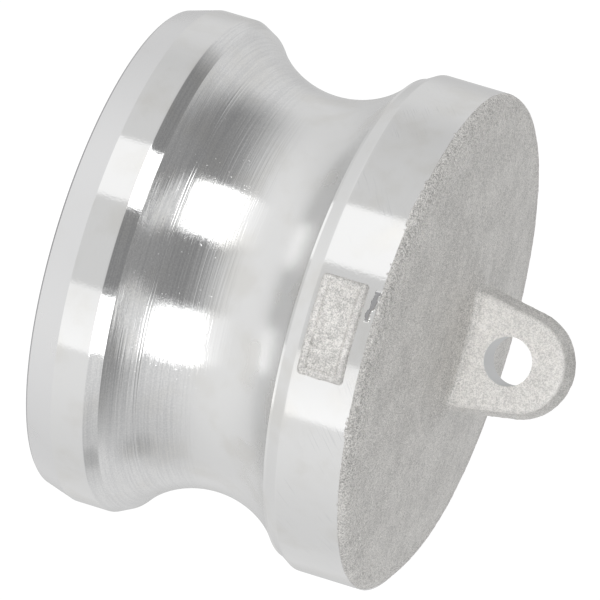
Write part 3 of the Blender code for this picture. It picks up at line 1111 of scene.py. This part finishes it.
# %% The lug and its root
LUG_SINK = 1.2 * MM
LUG_END_STEPS = 48
ROOT_POINTS = 48
ROOT_INSET = 0.03 * MM
ROOT_DIP = 0.02 * MM


def lug_lean():
    """How far the lug's straight sides lean in, so that they run into its round end."""
    half_root = LUG_ROOT_WIDTH / 2
    drop = LUG_END_CENTRE - CROWN_TOP
    return math.acos(LUG_END_RADIUS / math.hypot(half_root, drop)) - math.atan2(drop, half_root)


def lug_half_width(height, inset):
    """Half the lug's width at a height, for an outline drawn in by the inset."""
    lean = lug_lean()
    rise = height - LUG_END_CENTRE
    return (LUG_END_RADIUS - inset - rise * math.sin(lean)) / math.cos(lean)


def lug_ring(inset, y):
    """The lug's outline at one depth."""
    lean = lug_lean()
    root = CROWN_TOP - LUG_SINK
    half = lug_half_width(root, inset)
    outline = [(half, root)]
    for i in range(LUG_END_STEPS + 1):
        a = lean + (math.pi - 2 * lean) * i / LUG_END_STEPS
        r = LUG_END_RADIUS - inset
        outline.append((r * math.cos(a), LUG_END_CENTRE + r * math.sin(a)))
    outline.append((-half, root))
    return [(LUG_SIDEWAYS + x, y, z) for x, z in outline]


def root_ring(step, steps):
    """One ring of the swelling that carries the lug, step 0 lowest and farthest out."""
    share = step / steps
    rise = LUG_ROOT_RISE * share**2
    flare = LUG_ROOT_REACH * (1.0 - share)
    ring = []
    for i in range(ROOT_POINTS):
        a = 2 * math.pi * i / ROOT_POINTS
        side = math.copysign(abs(math.cos(a)) ** 0.5, math.cos(a))
        depth = math.copysign(abs(math.sin(a)) ** 0.5, math.sin(a))
        half = lug_half_width(CROWN_TOP + rise, LUG_DRAFT_INSET * abs(depth))
        x = LUG_SIDEWAYS + side * (half + flare - ROOT_INSET)
        y = depth * (LUG_THICKNESS / 2 + flare - ROOT_INSET)
        ring.append((x, y, crown_height(math.hypot(x, y)) + rise - ROOT_DIP * (1.0 - share)))
    return ring


def add_loft(data, rings):
    """Skin a stack of rings and close both ends, in a mesh under construction."""
    loops = [[data.verts.new(point) for point in ring] for ring in rings]
    for lower, upper in zip(loops, loops[1:]):
        for i in range(len(lower)):
            j = (i + 1) % len(lower)
            data.faces.new((lower[i], lower[j], upper[j], upper[i]))
    data.faces.new(list(reversed(loops[0])))
    data.faces.new(loops[-1])


print("lean of the lug's sides, degrees:", round(math.degrees(lug_lean()), 1))

# %% [markdown]
# Now the parts of the rough back go into one mesh. They only overlap, because the next step melts
# them together. The trim at the gate pulls the rim in by a bell curve of the angle, most at its top
# and not at all at the collar.

# %% The rough back
ROOT_STEPS = 8
ROOT_SINK = 1.0 * MM
data = bmesh.new()
add_revolved(data, back_profile(), TURNED_FACETS)
for vert in data.verts:
    away = abs(math.atan2(vert.co.y, vert.co.x) - GATE_AZIMUTH) / GATE_WIDTH
    trim = GATE_TRIM * math.exp(-away * away)
    above = min(max((vert.co.z - COLLAR_END_HEIGHT) / RIM_RADIUS, 0.0), 1.0)
    vert.co.xy *= 1.0 - trim * above / COLLAR_RADIUS
half = LUG_THICKNESS / 2
lug_depths = ((LUG_DRAFT_INSET, -half), (0.0, 0.0), (LUG_DRAFT_INSET, half))
add_loft(data, [lug_ring(inset, y) for inset, y in lug_depths])
foot = [(x, y, z - ROOT_SINK) for x, y, z in root_ring(0, ROOT_STEPS)]
add_loft(data, [foot] + [root_ring(step, ROOT_STEPS) for step in range(ROOT_STEPS + 1)])
bmesh.ops.remove_doubles(data, verts=data.verts, dist=MERGE_DISTANCE)
bmesh.ops.recalc_face_normals(data, faces=data.faces)
rough_back = bpy.data.meshes.new("rough_back")
data.to_mesh(rough_back)
data.free()
print("faces of the rough back:", len(rough_back.polygons))

# %% [markdown]
# A casting has no crisp edge and no even face. The rough shape is first remeshed into small even
# cells, which melts the lug into the dome, and a tree then moves the skin in and out: fine for the
# sand, wide and shallow for the unevenness of the mould, and a little deeper on the rim.

# %% The mould's skin
skin_sizes = {
    "Grain Size": 0.7 * MM,
    "Grain Depth": 0.022 * MM,
    "Lump Size": 7.0 * MM,
    "Lump Depth": 0.06 * MM,
    "Rim Depth": 0.05 * MM,
    "Rim Radius": 28.5 * MM,
    "Rim Height": 40.6 * MM,
    "Seed": 3,
}
NOISE_SPREAD = 3.0
FINER_ON_RIM = 0.8
RIM_RADIUS_STEP = (-2.0 * MM, 1.0 * MM)
RIM_HEIGHT_STEP = (-0.2 * MM, 0.2 * MM)
g, size = shape_tree("sand_cast_skin", skin_sizes | {"Metal": None})
place = g.node("GeometryNodeInputPosition")
normal = g.node("GeometryNodeInputNormal")


def relief(grain, depth, seed_shift):
    """Noise of one grain size, from about -depth to +depth once its narrow range is spread."""
    fine = g.node(
        "ShaderNodeTexNoise",
        {"noise_dimensions": "4D"},
        {"Vector": place, "W": size["Seed"] + seed_shift, "Scale": 1.0 / grain, "Detail": 2.0},
    )
    return (fine["Fac"] - 0.5) * NOISE_SPREAD * depth


push = relief(size["Grain Size"], size["Grain Depth"], seed_shift=0.0)
push = push + relief(size["Lump Size"], size["Lump Depth"], seed_shift=7.5)
axes = g.node("ShaderNodeSeparateXYZ", None, {"Vector": place})
off_axis = (axes["X"] ** 2 + axes["Y"] ** 2) ** 0.5
at_rim = (off_axis - size["Rim Radius"]).between(*RIM_RADIUS_STEP)
at_rim = at_rim * (axes["Z"] - size["Rim Height"]).between(*RIM_HEIGHT_STEP)
rim_grain = relief(FINER_ON_RIM * size["Grain Size"], size["Rim Depth"], seed_shift=3.5)
push = push + rim_grain * at_rim
offset = g.node("ShaderNodeVectorMath", {"operation": "SCALE"}, {"Vector": normal, "Scale": push})
skin = g.node("GeometryNodeSetPosition", None, {"Geometry": size["Geometry"], "Offset": offset})
skin = g.node("GeometryNodeRealizeInstances", None, {"Geometry": skin})
skin = g.node("GeometryNodeSetMaterial", None, {"Geometry": skin, "Material": size["Metal"]})
g.node("NodeGroupOutput", None, {"Geometry": skin})
skin_tree = g.tree
print("nodes in the skin tree:", len(skin_tree.nodes))

# %% [markdown]
# A voxel remesh rebuilds the rough back from small even cells, and a little smoothing takes off
# their steps. It also melts the rings round the lug's foot into one soft swelling. The part that
# hides in the collar is cut off level and closed, and the skin's tree then runs on the result.

# %% Even cells for the skin
CELL_SIZE = 0.26 * MM
SMOOTHING = 0.5
SMOOTHING_ROUNDS = 5
CUT_ABOVE_SKIRT = 0.2 * MM
carrier = bpy.data.objects.new("remeshed", rough_back)
scene.collection.objects.link(carrier)
remesh = carrier.modifiers.new("voxels", "REMESH")
remesh.mode = "VOXEL"
remesh.voxel_size = CELL_SIZE
smooth = carrier.modifiers.new("smooth", "SMOOTH")
smooth.factor = SMOOTHING
smooth.iterations = SMOOTHING_ROUNDS
melted = carrier.evaluated_get(bpy.context.evaluated_depsgraph_get())
even = bpy.data.meshes.new_from_object(melted)
bpy.data.objects.remove(carrier)
data = bmesh.new()
data.from_mesh(even)
cut_height = COLLAR_END_HEIGHT - BACK_SKIRT + CUT_ABOVE_SKIRT
bmesh.ops.bisect_plane(
    data,
    geom=data.verts[:] + data.edges[:] + data.faces[:],
    plane_co=(0, 0, cut_height),
    plane_no=(0, 0, 1),
    clear_inner=True,
)
border = [e for e in data.edges if e.is_boundary]
filled = bmesh.ops.holes_fill(data, edges=border)
bmesh.ops.poke(data, faces=filled["faces"])
data.to_mesh(even)
data.free()
back = bake("cast_back", skin_tree, even, {"Metal": cast_aluminium})
print("faces of the skin:", len(back.data.polygons))

# %% [markdown]
# The hole is drilled after casting, so it is cut out last and its wall gets a smooth grey metal of
# its own. That grey is painted darker than the skin round it, as the shade of a wall that mirrors
# itself.

# %% The drilled hole
HOLE_FACETS = 96
# the darker grey is painted shade for the inside of the hole
DRILLED_COLOUR = (0.58, 0.585, 0.59, 1.0)
across_lug = Matrix.Rotation(math.pi / 2, 4, "X")
hole_place = Matrix.Translation((LUG_SIDEWAYS, 0, LUG_HOLE_HEIGHT)) @ across_lug
cutter_data = bmesh.new()
bmesh.ops.create_cone(
    cutter_data,
    cap_ends=True,
    segments=HOLE_FACETS,
    radius1=LUG_HOLE_RADIUS,
    radius2=LUG_HOLE_RADIUS,
    depth=3 * LUG_THICKNESS,
    matrix=hole_place,
)
cutter_mesh = bpy.data.meshes.new("hole_cutter")
cutter_data.to_mesh(cutter_mesh)
cutter_data.free()
drilled_aluminium = bpy.data.materials.new("drilled_aluminium")
m = empty_tree(drilled_aluminium)
drilled_look = {"Base Color": DRILLED_COLOUR, "Metallic": 1.0, "Roughness": 0.3}
bored = m.node("ShaderNodeBsdfPrincipled", None, drilled_look)
m.node("ShaderNodeOutputMaterial", None, {"Surface": bored})
cutter_mesh.materials.append(drilled_aluminium)
cutter = bpy.data.objects.new("hole_cutter", cutter_mesh)
scene.collection.objects.link(cutter)
drill = back.modifiers.new("drill", "BOOLEAN")
drill.operation = "DIFFERENCE"
drill.solver = "EXACT"
drill.object = cutter
drill.material_mode = "TRANSFER"
pierced = back.evaluated_get(bpy.context.evaluated_depsgraph_get())
drilled = bpy.data.meshes.new_from_object(pierced)
back.modifiers.remove(drill)
back.data = drilled
drilled.name = "cast_back"
bpy.data.objects.remove(cutter)
finish(back, BACK_CREASE)

# %% [markdown]
# On the collar stands a small cast tablet, a raised frame round a sunken field. The lathe passed
# on both sides of it and left it as cast. On many plugs such a field carries a mark; here it stays
# bare. It is built as a height over the collar, on a grid bent to the collar's curve.

# %% Tablet
TABLET_AROUND = 12.7 * MM
TABLET_ALONG = 6.0 * MM
TABLET_HEIGHT = 0.45 * MM
TABLET_WALL_RUN = 0.35 * MM
TABLET_RIM_WIDTH = 0.55 * MM
TABLET_FIELD_DEPTH = 0.34 * MM
TABLET_CORNER = 0.6 * MM
TABLET_CENTRE_HEIGHT = 36.8 * MM
TABLET_AZIMUTH = math.radians(-2.2)
TABLET_STEP = 0.11 * MM
TABLET_MARGIN = 0.12 * MM
TABLET_ROOT = 0.4 * MM
TABLET_FOOT_ROUND = 0.05 * MM
TABLET_FOOT_REACH = 0.1 * MM
TABLET_LUMP_SIZE = 1.5 * MM
TABLET_LUMP_DEPTH = 0.075 * MM
print("tablet over the collar, mm:", TABLET_HEIGHT / MM)

# %% [markdown]
# One function gives the tablet's height at any place, so its wall, its frame and its field meet in
# soft steps instead of edges. It works from the distance to the outline, a rectangle with round
# corners, and goes below the collar all round, so that the tablet's foot never shows a gap.

# %% The tablet's surface
def smooth_step(low, high, value):
    """0 below low, 1 above high, and a smooth step from one to the other."""
    t = min(max((value - low) / (high - low), 0.0), 1.0)
    return t * t * (3 - 2 * t)


def tablet_rise(u, v):
    """Height over the collar at a place from the tablet's middle."""
    dx = abs(u) - (TABLET_AROUND / 2 - TABLET_CORNER)
    dy = abs(v) - (TABLET_ALONG / 2 - TABLET_CORNER)
    outside = math.hypot(max(dx, 0.0), max(dy, 0.0)) + min(max(dx, dy), 0.0)
    inward = TABLET_CORNER - outside
    rise = TABLET_HEIGHT * smooth_step(-TABLET_FOOT_ROUND, TABLET_WALL_RUN, inward)
    field = TABLET_WALL_RUN + TABLET_RIM_WIDTH
    rise -= TABLET_FIELD_DEPTH * smooth_step(field, field + TABLET_WALL_RUN, inward)
    rise -= TABLET_ROOT * smooth_step(TABLET_FOOT_ROUND, -TABLET_FOOT_REACH, inward)
    return rise


frame_middle = TABLET_ALONG / 2 - TABLET_WALL_RUN - TABLET_RIM_WIDTH / 2
print("height of the tablet's frame, mm:", round(tablet_rise(0.0, frame_middle) / MM, 2))

# %% [markdown]
# A flat grid is laid over the tablet's outline and every point is carried to the collar: along the
# grid becomes along the plug, and across it becomes an angle round the axis. A second, even grid
# under it and a wall between the two close the piece. The mould's skin then roughens it as well.

# %% The tablet on the collar
grid_around = TABLET_AROUND + 2 * TABLET_MARGIN
grid_along = TABLET_ALONG + 2 * TABLET_MARGIN
columns = round(grid_around / TABLET_STEP)
rows = round(grid_along / TABLET_STEP)
data = bmesh.new()
face = {}
foot = {}
for i in range(columns + 1):
    for j in range(rows + 1):
        u = (i / columns - 0.5) * grid_around
        v = (j / rows - 0.5) * grid_along
        angle = TABLET_AZIMUTH + u / COLLAR_RADIUS
        z = TABLET_CENTRE_HEIGHT + v
        for store, rise in ((face, tablet_rise(u, v)), (foot, -2 * TABLET_ROOT)):
            radius = COLLAR_RADIUS + rise
            place = (radius * math.sin(angle), -radius * math.cos(angle), z)
            store[i, j] = data.verts.new(place)
for i in range(columns):
    for j in range(rows):
        corners = ((i, j), (i + 1, j), (i + 1, j + 1), (i, j + 1))
        data.faces.new([face[c] for c in corners])
        data.faces.new([foot[c] for c in reversed(corners)])
ring = [(i, 0) for i in range(columns)] + [(columns, j) for j in range(rows)]
ring += [(i, rows) for i in range(columns, 0, -1)] + [(0, j) for j in range(rows, 0, -1)]
for a, b in zip(ring, ring[1:] + ring[:1]):
    data.faces.new((face[b], face[a], foot[a], foot[b]))
bmesh.ops.recalc_face_normals(data, faces=data.faces)
plain_tablet = bpy.data.meshes.new("plain_tablet")
data.to_mesh(plain_tablet)
data.free()
tablet_skin = {
    "Metal": cast_aluminium,
    "Lump Size": TABLET_LUMP_SIZE,
    "Lump Depth": TABLET_LUMP_DEPTH,
}
tablet = bake("cast_tablet", skin_tree, plain_tablet, tablet_skin)
finish(tablet, TABLET_CREASE)

# %% [markdown]
